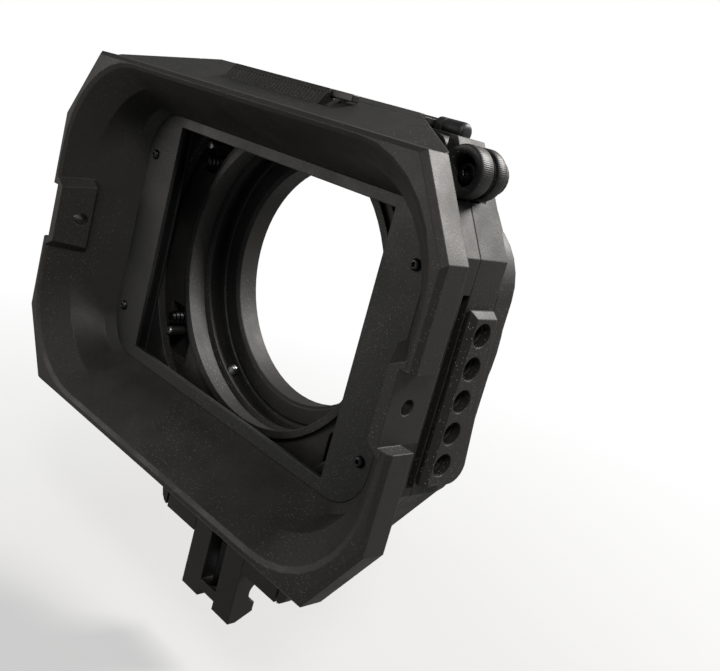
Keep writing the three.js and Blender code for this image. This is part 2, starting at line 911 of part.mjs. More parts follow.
function sidePlate(side) {
  const inner = stageHalfWidth + seatGap;
  const outer = stageHalfWidth + seatGap + sidePlateThickness;
  const cornerSteps = 6;
  const corner = Array.from({ length: cornerSteps + 1 }, (_, step) => {
    const angle = (step / cornerSteps) * (Math.PI / 2);
    return [
      sidePlateRearBottom - sidePlateCorner + sidePlateCorner * Math.sin(angle),
      sidePlateBottom + sidePlateCorner - sidePlateCorner * Math.cos(angle),
    ];
  });
  const outline = [
    [sidePlateFront, sidePlateBottom],
    ...corner,
    [sidePlateRearTop, sidePlateTop],
    [sidePlateFront, sidePlateTop],
  ];
  const ends = [side * inner, side * outer].sort((a, b) => a - b);
  const plate = prismX(outline, ends[0], ends[1]);
  const bevels = [
    [
      [outer, sidePlateTop - sidePlateBevel],
      [outer + overrun, sidePlateTop - sidePlateBevel - overrun],
      [outer + overrun, sidePlateTop + overrun],
      [outer - sidePlateBevel - overrun, sidePlateTop + overrun],
    ],
  ].map((points) =>
    prismY(
      points.map(([x, z]) => [side * x, z]),
      sidePlateFront - overrun,
      sidePlateRearBottom + overrun,
    ),
  );
  const frontBevel = prismZ(
    [
      [side * (outer - sidePlateBevel), sidePlateFront - overrun],
      [side * (outer + overrun), sidePlateFront - overrun],
      [side * (outer + overrun), sidePlateFront + sidePlateBevel + overrun],
      [side * outer, sidePlateFront + sidePlateBevel],
      [side * (outer - sidePlateBevel), sidePlateFront],
    ],
    sidePlateBottom - overrun,
    sidePlateTop + overrun,
  );
  return cut(plate, [...bevels, frontBevel, ...accessoryHoles()]);
}

// The four corners where a screw and a dowel sit side by side
const fastenerCorners = sides.flatMap((side) => sides.map((end) => [side, end]));
const bodyScrewPlaces = fastenerCorners.map(([side, end]) => [side * bodyScrewX, end * bodyScrewZ]);
const supportScrewPlaces = sides.map((side) => [side * supportScrewX, supportScrewZ]);

function backPlate() {
  const outline = octagon(
    stageHalfWidth - backPlateInset,
    backPlateCornerBottom,
    backPlateCornerTop,
    backPlateBottom,
    backPlateTop,
  );
  const wings = roundedBox(stageHalfWidth, -backPlateWingTop, backPlateWingTop, backPlateWingRadius);
  const plate = join([
    prismY(outline, backPlateFront, backPlateRear),
    prismY(wings, backPlateFront, backPlateRear),
  ]);
  const lipFront = backPlateFront - boreLipHeight;
  const lip = rodY(0, 0, boreLipRadius, lipFront, backPlateFront + mergeDepth, fineSides);
  const bore = turnedY(
    0,
    0,
    [
      [0, lipFront - overrun],
      [boreFrontRadius, lipFront - overrun],
      [boreFrontRadius, lipFront],
      [boreRearRadius, backPlateRear],
      [boreRearRadius, backPlateRear + overrun],
      [0, backPlateRear + overrun],
    ],
    fineSides,
  );
  const pocketRear = backPlateFront + fastenerPocketDepth;
  const core = rodY(0, 0, fastenerPocketRingRadius, lipFront, pocketRear + overrun, fineSides);
  const pockets = fastenerCorners.map(([side, end]) => {
    const xs = [side * fastenerPocketInnerX, side * fastenerPocketOuterX].sort((a, b) => a - b);
    const zs = [end * fastenerPocketInnerZ, end * fastenerPocketOuterZ].sort((a, b) => a - b);
    return block(xs, [backPlateFront - overrun, pocketRear], zs).subtract(core);
  });
  const through = (x, z, radius) => rodY(x, z, radius, backPlateFront - overrun, backPlateRear + overrun);
  const holes = [
    ...fastenerCorners.map(([side, end]) =>
      through(side * ringScrewX, end * ringScrewZ, ringScrewRadius + slideGap),
    ),
    ...fastenerCorners.map(([side, end]) => through(side * ringScrewX, end * dowelZ, dowelRadius + slideGap)),
    ...bodyScrewPlaces.map(([x, z]) => through(x, z, bodyScrewRadius + slideGap)),
  ];
  const supportNotch = block(
    [-supportHalfWidth - seatGap, supportHalfWidth + seatGap],
    [backPlateFront - overrun, backPlateRear + overrun],
    [backPlateBottom - overrun, supportTop + seatGap],
  );
  const ears = sides.flatMap((side) =>
    [
      [innerEarInnerX, innerEarOuterX],
      [earInnerX, earOuterX],
    ].map((pair) => {
      const ends = pair.map((x) => side * x).sort((a, b) => a - b);
      const radius = ends[1] === earOuterX ? hingeKnobRadius : hingeEyeRadius;
      const post = block(
        ends,
        [hingeStation - hingeEyeRadius + mergeDepth, hingeStation + hingeEyeRadius],
        [backPlateTop - overrun, hingeZ],
      );
      return join([post, hingeEye(ends[0], ends[1], radius)]);
    }),
  );
  const hingeBore = rodX(-earOuterX - overrun, earOuterX + overrun, hingeStation, hingeZ, hingeBoreRadius);
  const body = join([plate, lip, ...ears]);
  return cut(body, [bore, ...pockets, ...holes, supportNotch, hingeBore]);
}

function bodyScrew([x, z]) {
  const seat = backPlateRear + seatGap;
  const head = rodY(x, z, bodyScrewHeadRadius, seat, seat + bodyScrewHeadHeight, roundSides);
  const shank = rodY(x, z, bodyScrewRadius, housingRear - bodyScrewReach + seatGap, seat + mergeDepth);
  const socket = hexSocket().translate(x, seat + bodyScrewHeadHeight, z);
  return cut(join([head, shank]), [socket]);
}

// A six-sided socket that opens towards +Y at the origin
function hexSocket() {
  return rodY(0, 0, hexRadius, -hexDepth / 2, overrun, 6);
}

function clampRing() {
  const noseFront = clampRingFront + clampLipNoseSetback;
  const ring = turnedY(
    0,
    0,
    [
      [clampLipFaceRadius, clampRingFront],
      [clampRingRadius - clampRingBevel, clampRingFront],
      [clampRingRadius, clampRingFront + clampRingBevel],
      [clampRingRadius, clampRingRear - clampRingBevel],
      [clampRingRadius - clampRingBevel, clampRingRear],
      [clampBoreRadius, clampRingRear],
      [clampBoreRadius, clampLipRear],
      [clampLipRearRadius, clampLipRear],
      [clampLipFrontRadius, noseFront],
      [clampLipFaceRadius, clampRingFront],
    ],
    fineSides,
  );
  const lugs = block(
    [-clampLugOuterX, -clampBoreRadius - mergeDepth],
    [clampLugFront, clampLugRear],
    [-clampLugHalfHeight, clampLugHalfHeight],
  );
  const slit = block(
    [-clampLugOuterX - overrun, -clampLipRearRadius],
    [clampLipRear + clampLipNoseSetback, clampRingRear + overrun],
    [-clampSlitHalfWidth, clampSlitHalfWidth],
  );
  const boltHole = rodZ(
    -clampBoltX,
    clampBoltStation,
    clampBoltRadius + slideGap,
    -clampLugHalfHeight - overrun,
    clampLugHalfHeight + overrun,
  );
  const headSeat = clampLipRear - ringScrewHeadHeight - seatGap;
  const screwHoles = fastenerCorners.flatMap(([side, end]) => [
    rodY(
      side * ringScrewX,
      end * ringScrewZ,
      ringScrewRadius + slideGap,
      clampRingFront - overrun,
      clampLipRear + overrun,
    ),
    rodY(
      side * ringScrewX,
      end * ringScrewZ,
      ringScrewHeadRadius + slideGap,
      headSeat,
      clampRingRear + overrun,
    ),
    rodY(
      side * ringScrewX,
      end * dowelZ,
      dowelRadius + slideGap,
      clampRingFront - overrun,
      ringScrewTip + dowelLength + seatGap,
    ),
  ]);
  const grubHoles = grubScrewAngles.map((angle) =>
    radialRod(angle, grubScrewRadius + slideGap, clampLipFrontRadius - overrun, clampRingRadius + overrun),
  );
  return cut(join([ring, lugs]), [slit, boltHole, ...screwHoles, ...grubHoles]);
}

// A rod along a radius of the lens axis, at the grub screws' station
function radialRod(angle, radius, inner, outer, count = smallSides) {
  const rod = new THREE.CylinderGeometry(radius, radius, outer - inner, count);
  rod.rotateZ(-Math.PI / 2).translate((inner + outer) / 2, 0, 0);
  rod.rotateY(-THREE.MathUtils.degToRad(angle));
  return solid(rod.translate(0, clampRingFront + grubScrewSetback, 0));
}

function grubScrew(angle) {
  const shoulder = grubScrewInnerEnd + grubScrewTipLength;
  const tip = radialRod(angle, grubScrewTipRadius, grubScrewInnerEnd, shoulder + mergeDepth);
  const body = radialRod(angle, grubScrewRadius, shoulder, grubScrewOuterEnd);
  const socket = radialRod(angle, hexRadius, grubScrewOuterEnd - hexDepth, grubScrewOuterEnd + overrun, 6);
  return cut(join([tip, body]), [socket]);
}

// Coarse thread as a row of sharp rings, then a plain shank and a round head
function ringScrew([side, end]) {
  const headFront = clampLipRear - ringScrewHeadHeight;
  const threadRear = backPlateFront + fastenerPocketDepth;
  const crests = Math.floor((threadRear - ringScrewTip) / ringScrewPitch);
  const thread = Array.from({ length: crests }, (_, step) => {
    const root = ringScrewTip + step * ringScrewPitch;
    return [
      [ringScrewRootRadius, root],
      [ringScrewRadius, root + ringScrewPitch / 2],
    ];
  }).flat();
  const profile = [
    [0, ringScrewTip],
    ...thread,
    [ringScrewRootRadius, ringScrewTip + crests * ringScrewPitch],
    [ringScrewRadius, threadRear + ringScrewPitch / 2],
    [ringScrewRadius, headFront],
    [ringScrewHeadRadius, headFront],
    [ringScrewHeadRadius, clampLipRear],
    [0, clampLipRear],
  ];
  const screw = turnedY(side * ringScrewX, end * ringScrewZ, profile, smallSides);
  return cut(screw, [hexSocket().translate(side * ringScrewX, clampLipRear, end * ringScrewZ)]);
}

function dowel([side, end]) {
  const tip = ringScrewTip;
  const rear = ringScrewTip + dowelLength;
  return turnedY(
    side * ringScrewX,
    end * dowelZ,
    [
      [0, tip],
      [dowelRadius - dowelBevel, tip],
      [dowelRadius, tip + dowelBevel],
      [dowelRadius, rear],
      [0, rear],
    ],
    smallSides,
  );
}

function adapterRing() {
  const outer = clampBoreRadius - seatGap;
  const rear = adapterFront + adapterThickness;
  const grooveOuter = adapterGrooveRadius + adapterGrooveWidth;
  return turnedY(
    0,
    0,
    [
      [adapterBoreRadius + adapterBevel, adapterFront],
      [adapterGrooveRadius, adapterFront],
      [adapterGrooveRadius, adapterFront + adapterGrooveDepth],
      [grooveOuter, adapterFront + adapterGrooveDepth],
      [grooveOuter, adapterFront],
      [outer, adapterFront],
      [outer, rear],
      [adapterBoreRadius, rear],
      [adapterBoreRadius, adapterFront + adapterBevel],
      [adapterBoreRadius + adapterBevel, adapterFront],
    ],
    fineSides,
  );
}

function clampBolt() {
  const seat = clampLugHalfHeight + seatGap;
  const points = Array.from({ length: roundSides }, (_, step) => {
    const angle = (step / roundSides) * Math.PI * 2;
    const radius = clampKnobRadius * (1 - lobeShare * (step % 2));
    return [
      -clampBoltX + radius * Math.cos(angle),
      clampBoltStation + radius * Math.sin(angle),
    ];
  });
  const knob = prismZ(points, seat, seat + clampKnobHeight);
  const shaft = rodZ(-clampBoltX, clampBoltStation, clampBoltRadius, -clampLugHalfHeight, seat + mergeDepth);
  return join([knob, shaft]);
}

function lockKnob() {
  const holeRear = lockKnobFront + lockKnobHoleDepth;
  const bore = lockScrewRadius + slideGap;
  return turnedY(
    lockKnobX,
    lockKnobZ,
    [
      [lockKnobHoleRadius, lockKnobFront],
      [lockKnobRadius - lockKnobBevel, lockKnobFront],
      [lockKnobRadius, lockKnobFront + lockKnobBevel],
      [lockKnobRadius, lockKnobGrooveFront],
      [lockKnobGrooveRadius, lockKnobGrooveFront],
      [lockKnobGrooveRadius, lockKnobGrooveRear],
      [lockKnobRadius, lockKnobGrooveRear],
      [lockKnobRadius, lockKnobRear - lockKnobBevel],
      [lockKnobRadius - lockKnobBevel, lockKnobRear],
      [bore, lockKnobRear],
      [bore, holeRear],
      [lockKnobHoleRadius, holeRear],
      [lockKnobHoleRadius, lockKnobFront],
    ],
    roundSides,
  );
}

function lockScrew() {
  const seat = lockKnobFront + lockKnobHoleDepth - seatGap;
  const headFront = seat - lockScrewHeadHeight;
  return turnedY(
    lockKnobX,
    lockKnobZ,
    [
      [0, headFront],
      [lockScrewHeadRadius / 2, headFront],
      [lockScrewHeadRadius, headFront + lockScrewHeadHeight / 2],
      [lockScrewHeadRadius, seat],
      [lockScrewRadius, seat],
      [lockScrewRadius, lockKnobRear + lockLugThickness],
      [0, lockKnobRear + lockLugThickness],
    ],
    roundSides,
  );
}

function supportPlate() {
  const upper = block(
    [-supportHalfWidth, supportHalfWidth],
    [backPlateFront, supportRear],
    [supportStep, supportTop],
  );
  const lower = prismY(
    mirrored([
      [supportHalfWidth - supportCorner, supportBottom],
      [supportHalfWidth - supportCorner / 2, supportBottom + supportCorner / 5],
      [supportHalfWidth - supportCorner / 5, supportBottom + supportCorner / 2],
      [supportHalfWidth, supportBottom + supportCorner],
      [supportHalfWidth, supportStep + mergeDepth],
    ]),
    supportFront,
    supportRear,
  );
  const boss = block([-bossHalfWidth, bossHalfWidth], [supportFront, bossRear], [bossBottom, bossTop]);
  const gate = slideHalfWidth + slideGap;
  const cutouts = [
    block(
      [-gate, gate],
      [supportFront - overrun, supportRear + overrun],
      [supportBottom - overrun, bossBottom],
    ),
    ...sides.map((side) =>
      sideBlock(
        side,
        [kerfX - kerfWidth / 2, kerfX + kerfWidth / 2],
        [supportFront - overrun, supportRear + overrun],
        [supportBottom - overrun, supportBottom + kerfHeight],
      ),
    ),
    ...supportScrewPlaces.map(([x, z]) =>
      rodY(x, z, supportScrewRadius + slideGap, backPlateFront - overrun, supportRear + overrun),
    ),
    rodZ(0, guideRodStation, guideRodRadius + seatGap, bossBottom - overrun, guideRodTop + seatGap),
  ];
  return cut(join([upper, lower, boss]), cutouts);
}

function supportScrew([x, z]) {
  const seat = supportRear + seatGap;
  const head = rodY(x, z, supportScrewHeadRadius, seat, seat + supportScrewHeadHeight, roundSides);
  const shank = rodY(x, z, supportScrewRadius, housingRear - supportScrewReach + seatGap, seat + mergeDepth);
  const socket = hexSocket().translate(x, seat + supportScrewHeadHeight, z);
  return cut(join([head, shank]), [socket]);
}

function supportSlide() {
  const profile = [
    [supportFront, slideTop],
    [supportFront, slideBottom],
    [supportFront + slideToe, slideBottom],
    [slideRear, slideBottom + slideToe],
    [slideRear, slideTop],
  ].reverse();
  const posts = prismX(profile, -slideHalfWidth, slideHalfWidth);
  const channel = block(
    [-channelHalfWidth, channelHalfWidth],
    [supportFront - overrun, slideRear - slideWeb],
    [slideBottom + slideFootSetback + slideFootWeb, slideTop - slideFootWeb],
  );
  const footCut = block(
    [-channelHalfWidth, channelHalfWidth],
    [supportFront - overrun, slideRear + overrun],
    [slideBottom - overrun, slideBottom + slideFootSetback],
  );
  const rodNotch = rodX(
    -slideHalfWidth - overrun,
    slideHalfWidth + overrun,
    rodNotchStation,
    rodNotchZ,
    rodNotchRadius,
    roundSides,
  );
  const rodHole = rodZ(
    0,
    guideRodStation,
    guideRodRadius + slideGap,
    slideBottom - overrun,
    slideTop + overrun,
  );
  const screwHole = rodY(0, slideLockZ, slideLockRadius + slideGap, guideRodStation, slideRear + overrun);
  return cut(posts, [channel, footCut, rodNotch, rodHole, screwHole]);
}

function guideRod() {
  return rodZ(0, guideRodStation, guideRodRadius, guideRodBottom, guideRodTop, roundSides);
}

function slideLock() {
  const tip = guideRodStation + guideRodRadius + seatGap;
  const neckFront = slideRear + seatGap;
  const shaft = rodY(0, slideLockZ, slideLockRadius, tip, neckFront + mergeDepth);
  const neck = rodY(
    0,
    slideLockZ,
    slideKnobRadius / 2,
    neckFront,
    neckFront + slideKnobNeck + mergeDepth,
    roundSides,
  );
  const points = Array.from({ length: slideKnobLobes * smallSides }, (_, step) => {
    const angle = (step / (slideKnobLobes * smallSides)) * Math.PI * 2;
    const radius = slideKnobRadius * (1 + lobeShare * Math.cos(slideKnobLobes * angle));
    return [radius * Math.cos(angle), slideLockZ + radius * Math.sin(angle)];
  });
  const knobFront = neckFront + slideKnobNeck;
  return join([shaft, neck, prismY(points, knobFront, knobFront + slideKnobHeight)]);
}

const numbered = (name, places, shape, material) =>
  places.map((place, step) => piece(`${name}_${step + 1}`, shape(place), material));

const group = new THREE.Group();
group.add(
  piece('hood', hood(), hoodBlack),
  piece('hood_mask', hoodMask(), trayBlack),
  ...numbered('mask_screw', maskScrewPlaces, maskScrew, screwBlack),
  piece('stage_housing', stageHousing(), stageBlack),
  piece('tray_frame', trayFrame(), trayBlack),
  piece('tray_cap', trayCap(), hoodBlack),
  ...numbered('tray_cap_pin', capPinPlaces, capPin, brightSteel),
  piece('tray_catch', trayCatch(), anodisedBlack),
  piece('top_flag_leaf', flagLeaf(), anodisedBlack),
  piece('top_flag_rod', hingePin(), screwBlack),
  piece('top_flag_knob', hingeKnob(), anodisedBlack),
  piece('side_plate_right', sidePlate(1), stageBlack),
  piece('side_plate_left', sidePlate(-1), stageBlack),
  piece('back_plate', backPlate(), stageBlack),
  ...numbered('body_screw', bodyScrewPlaces, bodyScrew, screwBlack),
  piece('clamp_ring', clampRing(), stageBlack),
  ...numbered('ring_screw', fastenerCorners, ringScrew, screwBlack),
  ...numbered('dowel_pin', fastenerCorners, dowel, brightSteel),
  ...numbered('grub_screw', grubScrewAngles, grubScrew, brightSteel),
  piece('adapter_ring', adapterRing(), stageBlack),
  piece('clamp_knob', clampBolt(), anodisedBlack),
  piece('hood_lock_knob', lockKnob(), anodisedBlack),
  piece('hood_lock_screw', lockScrew(), screwBlack),
  piece('support_plate', supportPlate(), hoodBlack),
  ...numbered('support_screw', supportScrewPlaces, supportScrew, screwBlack),
  piece('support_slide', supportSlide(), hoodBlack),
  piece('guide_rod', guideRod(), screwBlack),
  piece('slide_lock_knob', slideLock(), anodisedBlack),
);
group.position.y = -clampRingRear;

export default group;
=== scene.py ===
import json
import math

import bmesh
import bpy
from mathutils import Matrix, Vector


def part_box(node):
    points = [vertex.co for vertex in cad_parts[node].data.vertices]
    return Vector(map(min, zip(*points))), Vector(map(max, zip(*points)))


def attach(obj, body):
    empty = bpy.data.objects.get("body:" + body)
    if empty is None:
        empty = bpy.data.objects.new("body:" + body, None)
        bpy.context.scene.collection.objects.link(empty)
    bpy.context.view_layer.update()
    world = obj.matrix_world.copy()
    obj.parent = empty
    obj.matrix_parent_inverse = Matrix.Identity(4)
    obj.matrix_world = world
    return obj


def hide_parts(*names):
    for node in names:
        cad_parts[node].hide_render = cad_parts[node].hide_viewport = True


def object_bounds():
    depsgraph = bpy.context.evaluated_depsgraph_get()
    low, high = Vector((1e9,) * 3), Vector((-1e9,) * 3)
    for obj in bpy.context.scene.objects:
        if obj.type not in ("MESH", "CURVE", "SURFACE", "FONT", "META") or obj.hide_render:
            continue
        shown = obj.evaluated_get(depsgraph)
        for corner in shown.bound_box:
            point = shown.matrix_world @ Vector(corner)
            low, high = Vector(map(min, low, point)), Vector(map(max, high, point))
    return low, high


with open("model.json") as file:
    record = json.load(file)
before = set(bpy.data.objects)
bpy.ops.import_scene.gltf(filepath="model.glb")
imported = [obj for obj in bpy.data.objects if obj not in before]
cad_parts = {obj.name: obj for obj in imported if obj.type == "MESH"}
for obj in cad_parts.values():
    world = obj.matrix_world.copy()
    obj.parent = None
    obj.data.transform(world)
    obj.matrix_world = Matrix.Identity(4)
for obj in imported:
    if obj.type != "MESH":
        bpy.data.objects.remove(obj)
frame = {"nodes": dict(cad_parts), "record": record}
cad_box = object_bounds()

MM = 0.001
BODIES = frame["record"]["behaviour"]["bodies"]
BODY_OF = {node: body for body, nodes in BODIES.items() for node in nodes}
SLOT_OF = {part["node"]: part["material_slot"] for part in frame["record"]["subparts"]}


# Shader helpers

class Graph:
    """The node tree of a material or a world, built by naming nodes and joining their sockets."""

    def __init__(self, owner):
        self.owner = owner
        owner.use_nodes = True
        self.tree = owner.node_tree
        self.tree.nodes.clear()

    def add(self, kind, inputs=(), **settings):
        node = self.tree.nodes.new(kind)
        for key, value in settings.items():
            setattr(node, key, value)
        for key, value in dict(inputs).items():
            self.feed(node.inputs[key], value)
        return node

    def feed(self, socket, value):
        if isinstance(value, bpy.types.NodeSocket):
            self.tree.links.new(value, socket)
        else:
            socket.default_value = value

    def noise(self, where, scale, detail=2.0, rough=0.5):
        inputs = {"Vector": where, "Scale": scale, "Detail": detail, "Roughness": rough}
        return self.add("ShaderNodeTexNoise", inputs).outputs["Fac"]

    def ramp(self, value, low, high, out_low=0.0, out_high=1.0):
        inputs = {"Value": value, "From Min": low, "From Max": high, "To Min": out_low, "To Max": out_high}
        return self.add("ShaderNodeMapRange", inputs).outputs["Result"]

    def math(self, operation, a, b):
        return self.add("ShaderNodeMath", {0: a, 1: b}, operation=operation).outputs["Value"]

    def mix(self, share, a, b):
        node = self.add("ShaderNodeMix", {"Factor": share}, data_type="RGBA")
        for name, value in (("A", a), ("B", b)):
            self.feed(next(s for s in node.inputs if s.name == name and s.type == "RGBA"), value)
        return next(s for s in node.outputs if s.type == "RGBA")

    def mix_value(self, share, a, b):
        node = self.add("ShaderNodeMix", {"Factor": share, "A": a, "B": b}, data_type="FLOAT")
        return node.outputs["Result"]

    def surface(self, inputs):
        """Ends a material's tree in one principled shader."""
        shader = self.add("ShaderNodeBsdfPrincipled", inputs)
        self.add("ShaderNodeOutputMaterial", {"Surface": shader.outputs["BSDF"]})
        return self.owner


def colour(red, green, blue):
    return (red, green, blue, 1.0)


def grey(tone):
    return colour(tone, tone, tone)


def times(tone, factor, added=0.0):
    """A brighter or darker colour than the tone's red, green and blue."""
    return colour(*[min(1.0, factor * channel + added) for channel in tone])


def cells(graph, where, scale, chance, size):
    """One in a few cells holds a round speck: 1 inside it, 0 outside."""
    node = graph.add("ShaderNodeTexVoronoi", {"Vector": where, "Scale": scale})
    split = graph.add("ShaderNodeSeparateColor", {"Color": node.outputs["Color"]})
    chosen = graph.math("LESS_THAN", split.outputs["Red"], chance)
    inside = graph.math("LESS_THAN", node.outputs["Distance"], size)
    return graph.math("MULTIPLY", chosen, inside), split.outputs["Green"]


# A surface counts as an edge where its rounded normal turns away: cosines of where it starts and is full
EDGE_FROM = 0.995
EDGE_FULL = 0.93
EDGE_SAMPLES = 6


def soft_edges(graph, radius):
    """A normal that rounds the edges, and a mask: 1 where the surface turns within the radius."""
    bevel = graph.add("ShaderNodeBevel", {"Radius": radius}, samples=EDGE_SAMPLES)
    normal = graph.add("ShaderNodeNewGeometry").outputs["Normal"]
    dot = graph.add("ShaderNodeVectorMath", {0: bevel.outputs["Normal"], 1: normal}, operation="DOT_PRODUCT")
    return bevel.outputs["Normal"], graph.ramp(dot.outputs["Value"], EDGE_FROM, EDGE_FULL)


# Black nylon

# Detail and roughness of the noises, the steel's too
CLOUDY = (4.0, 0.6)
BLOTCHY = (3.0, 0.5)
GRAINY = (3.0, 0.65)

# Features per metre
PATCH_SCALE = 28.0
STAIN_SCALE = 45.0
GLOSS_SCALE = 90.0
DUST_SCALE = 260.0
RUB_AND_HIGHLIGHT_SCALE = 300.0
LUMP_SCALE = 900.0
GRAIN_SCALE = 2600.0
GLINT_SCALE = 2600.0

# How far each feature lifts the tone, and its share of the mix
STAIN_LIFT = 1.5
GRAIN_LIFT = 2.6
GRAIN_SHARE = 0.5
# Edges are lighter, partly from rub wear and partly from a painted highlight
RUB_AND_HIGHLIGHT_LIFT = 6.0
RUB_AND_HIGHLIGHT_SHARE = 0.4
DUST_TONE = colour(0.3, 0.29, 0.27)
DUST_SHARE = 0.6
# Colour of the painted glints, light specks that stand in for light glinting off the nylon's grains
PAINTED_GLINT_TONE = colour(0.3, 0.29, 0.28)
GLINT_OUTSIDE_PATCHES = 0.12

# Chance of a painted glint in a cell, and the specks' radii as shares of a cell
GLINT_CHANCE = 0.2
GLINT_SIZE = 0.34
DUST_SIZE = 0.03

# Values of the noise between which each feature comes in
MIDDLE = (0.3, 0.7)
STAIN_RANGE = (0.35, 0.7)
GRAIN_RANGE = (0.42, 0.7)
PATCH_RANGE = (0.42, 0.62)
GLINT_RANGE = (0.3, 1.0)

# Relief and gloss
GRAIN_DEPTH = 0.12 * MM
LUMP_SHARE = 0.7
GLOSS_SPREAD = 0.07
NYLON_SPECULAR = 0.4
NYLON_EDGE_RADIUS = 0.5 * MM


def nylon(name, tone, rough, painted_sparkle, dust, grain, radius=NYLON_EDGE_RADIUS):
    """Sintered or moulded black nylon: fine grain, patches of painted glints, dust, and edges lightened
    partly by rub wear and partly by a painted highlight.
    """
    graph = Graph(bpy.data.materials.new(name))
    where = graph.add("ShaderNodeTexCoord").outputs["Object"]
    rounded, edge = soft_edges(graph, radius)
    stain = graph.ramp(graph.noise(where, STAIN_SCALE, *CLOUDY), *STAIN_RANGE)
    fine = graph.noise(where, GRAIN_SCALE, *GRAINY)
    base = graph.mix(stain, colour(*tone), times(tone, STAIN_LIFT))
    base = graph.mix(graph.ramp(fine, *GRAIN_RANGE, 0.0, GRAIN_SHARE), base, times(tone, GRAIN_LIFT))
    # Painted glints: light specks mixed into the base colour stand in for light glinting off the grains,
    # fewer outside random patches
    painted_glint, shade = cells(graph, where, GLINT_SCALE, GLINT_CHANCE, GLINT_SIZE)
    painted_glint = graph.math("MULTIPLY", painted_glint, graph.ramp(shade, *GLINT_RANGE, 0.0, painted_sparkle))
    patch = graph.ramp(graph.noise(where, PATCH_SCALE), *PATCH_RANGE, GLINT_OUTSIDE_PATCHES, 1.0)
    painted_glint = graph.math("MULTIPLY", painted_glint, patch)
    base = graph.mix(painted_glint, base, PAINTED_GLINT_TONE)
    speck, _ = cells(graph, where, DUST_SCALE, dust, DUST_SIZE)
    base = graph.mix(graph.math("MULTIPLY", speck, DUST_SHARE), base, DUST_TONE)
    # Lighter edges in blotches: partly rub wear, partly a painted highlight where the edges catch the light
    wear_and_highlight = graph.ramp(graph.noise(where, RUB_AND_HIGHLIGHT_SCALE, *BLOTCHY), *MIDDLE)
    rubbed_and_lit = graph.math("MULTIPLY", edge, wear_and_highlight)
    base = graph.mix(graph.math("MULTIPLY", rubbed_and_lit, RUB_AND_HIGHLIGHT_SHARE), base, times(tone, RUB_AND_HIGHLIGHT_LIFT))
    gloss = graph.noise(where, GLOSS_SCALE, *BLOTCHY)
    roughness = graph.ramp(gloss, *MIDDLE, rough - GLOSS_SPREAD, rough + GLOSS_SPREAD)
    height = graph.math("ADD", fine, graph.math("MULTIPLY", graph.noise(where, LUMP_SCALE), LUMP_SHARE))
    relief = {"Height": height, "Strength": grain, "Distance": GRAIN_DEPTH, "Normal": rounded}
    bump = graph.add("ShaderNodeBump", relief)
    return graph.surface({"Base Color": base, "Roughness": roughness, "Specular IOR Level": NYLON_SPECULAR,
                          "Normal": bump.outputs["Normal"]})


# Turned steel

TARNISH_SCALE = 120.0
TARNISH_LIFT = 0.72
TURNING_SCALE = 3200.0
TURNING_NOISE = (2.0, 0.6)
TURNING_STRENGTH = 0.25
TURNING_DEPTH = 0.04 * MM
TURNING_GLOSS = (-0.06, 0.1)
STEEL_EDGE_RADIUS = 0.2 * MM
# How much lighter the steel's edges are painted, a painted highlight
STEEL_EDGE_HIGHLIGHT_LIFT = 1.6
STEEL_EDGE_HIGHLIGHT_ADDED = 0.04
STEEL_EDGE_HIGHLIGHT_SHARE = 0.5


def steel(name, tone, rough):
    """Steel with fine turning marks, stains and a painted highlight along its edges."""
    graph = Graph(bpy.data.materials.new(name))
    where = graph.add("ShaderNodeTexCoord").outputs["Object"]
    rounded, edge = soft_edges(graph, STEEL_EDGE_RADIUS)
    tarnish = graph.ramp(graph.noise(where, TARNISH_SCALE, *CLOUDY), *MIDDLE)
    fine = graph.noise(where, TURNING_SCALE, *TURNING_NOISE)
    base = graph.mix(tarnish, colour(*tone), times(tone, TARNISH_LIFT))
    # Painted highlight: the edges lighter in the base colour, as if catching the light
    edge_highlight = times(tone, STEEL_EDGE_HIGHLIGHT_LIFT, STEEL_EDGE_HIGHLIGHT_ADDED)
    base = graph.mix(graph.math("MULTIPLY", edge, STEEL_EDGE_HIGHLIGHT_SHARE), base, edge_highlight)
    roughness = graph.ramp(fine, *MIDDLE, *[rough + change for change in TURNING_GLOSS])
    relief = {"Height": fine, "Strength": TURNING_STRENGTH, "Distance": TURNING_DEPTH, "Normal": rounded}
    bump = graph.add("ShaderNodeBump", relief)
    return graph.surface({"Base Color": base, "Roughness": roughness, "Metallic": 1.0,
                          "Normal": bump.outputs["Normal"]})


# Each material slot's look; anodised metal shares the nylon's shader, finer and with sharper edges

# Each look's sparkle value sets how bright its painted glints are
NYLON_LOOKS = {
    "hood_black": {"tone": (0.0085, 0.0077, 0.007), "rough": 0.56, "painted_sparkle": 0.45, "dust": 0.03,
                   "grain": 0.35},
    "stage_black": {"tone": (0.0082, 0.0077, 0.0073), "rough": 0.6, "painted_sparkle": 0.9, "dust": 0.04,
                    "grain": 0.5},
    "tray_black": {"tone": (0.006, 0.006, 0.006), "rough": 0.55, "painted_sparkle": 0.5, "dust": 0.03, "grain": 0.3},
    "anodised_black": {"tone": (0.0065, 0.0063, 0.0063), "rough": 0.5, "painted_sparkle": 0.6, "dust": 0.02,
                       "grain": 0.25, "radius": 0.3 * MM},
}
STEEL_LOOKS = {
    "screw_black": {"tone": (0.045, 0.045, 0.047), "rough": 0.36},
    "bright_steel": {"tone": (0.5, 0.5, 0.49), "rough": 0.3},
}
MATERIAL = {
    **{name: nylon(name, **look) for name, look in NYLON_LOOKS.items()},
    **{name: steel(name, **look) for name, look in STEEL_LOOKS.items()},
}


# Mesh helpers

# Edges that turn by more than these degrees stay sharp or are bevelled
SHARP_ANGLE = 24.0
MOULDED_SHARP_ANGLE = 13.0
GRIP_SHARP_ANGLE = 20.0
TURNED_SHARP_ANGLE = 40.0
FINE_SHARP_ANGLE = 50.0

# Neighbouring faces within this many degrees are one flat face
FLAT_ANGLE = 0.5

EDGE_SEGMENTS = 3
ROUND_COUNT = 48
WELD = 0.002 * MM


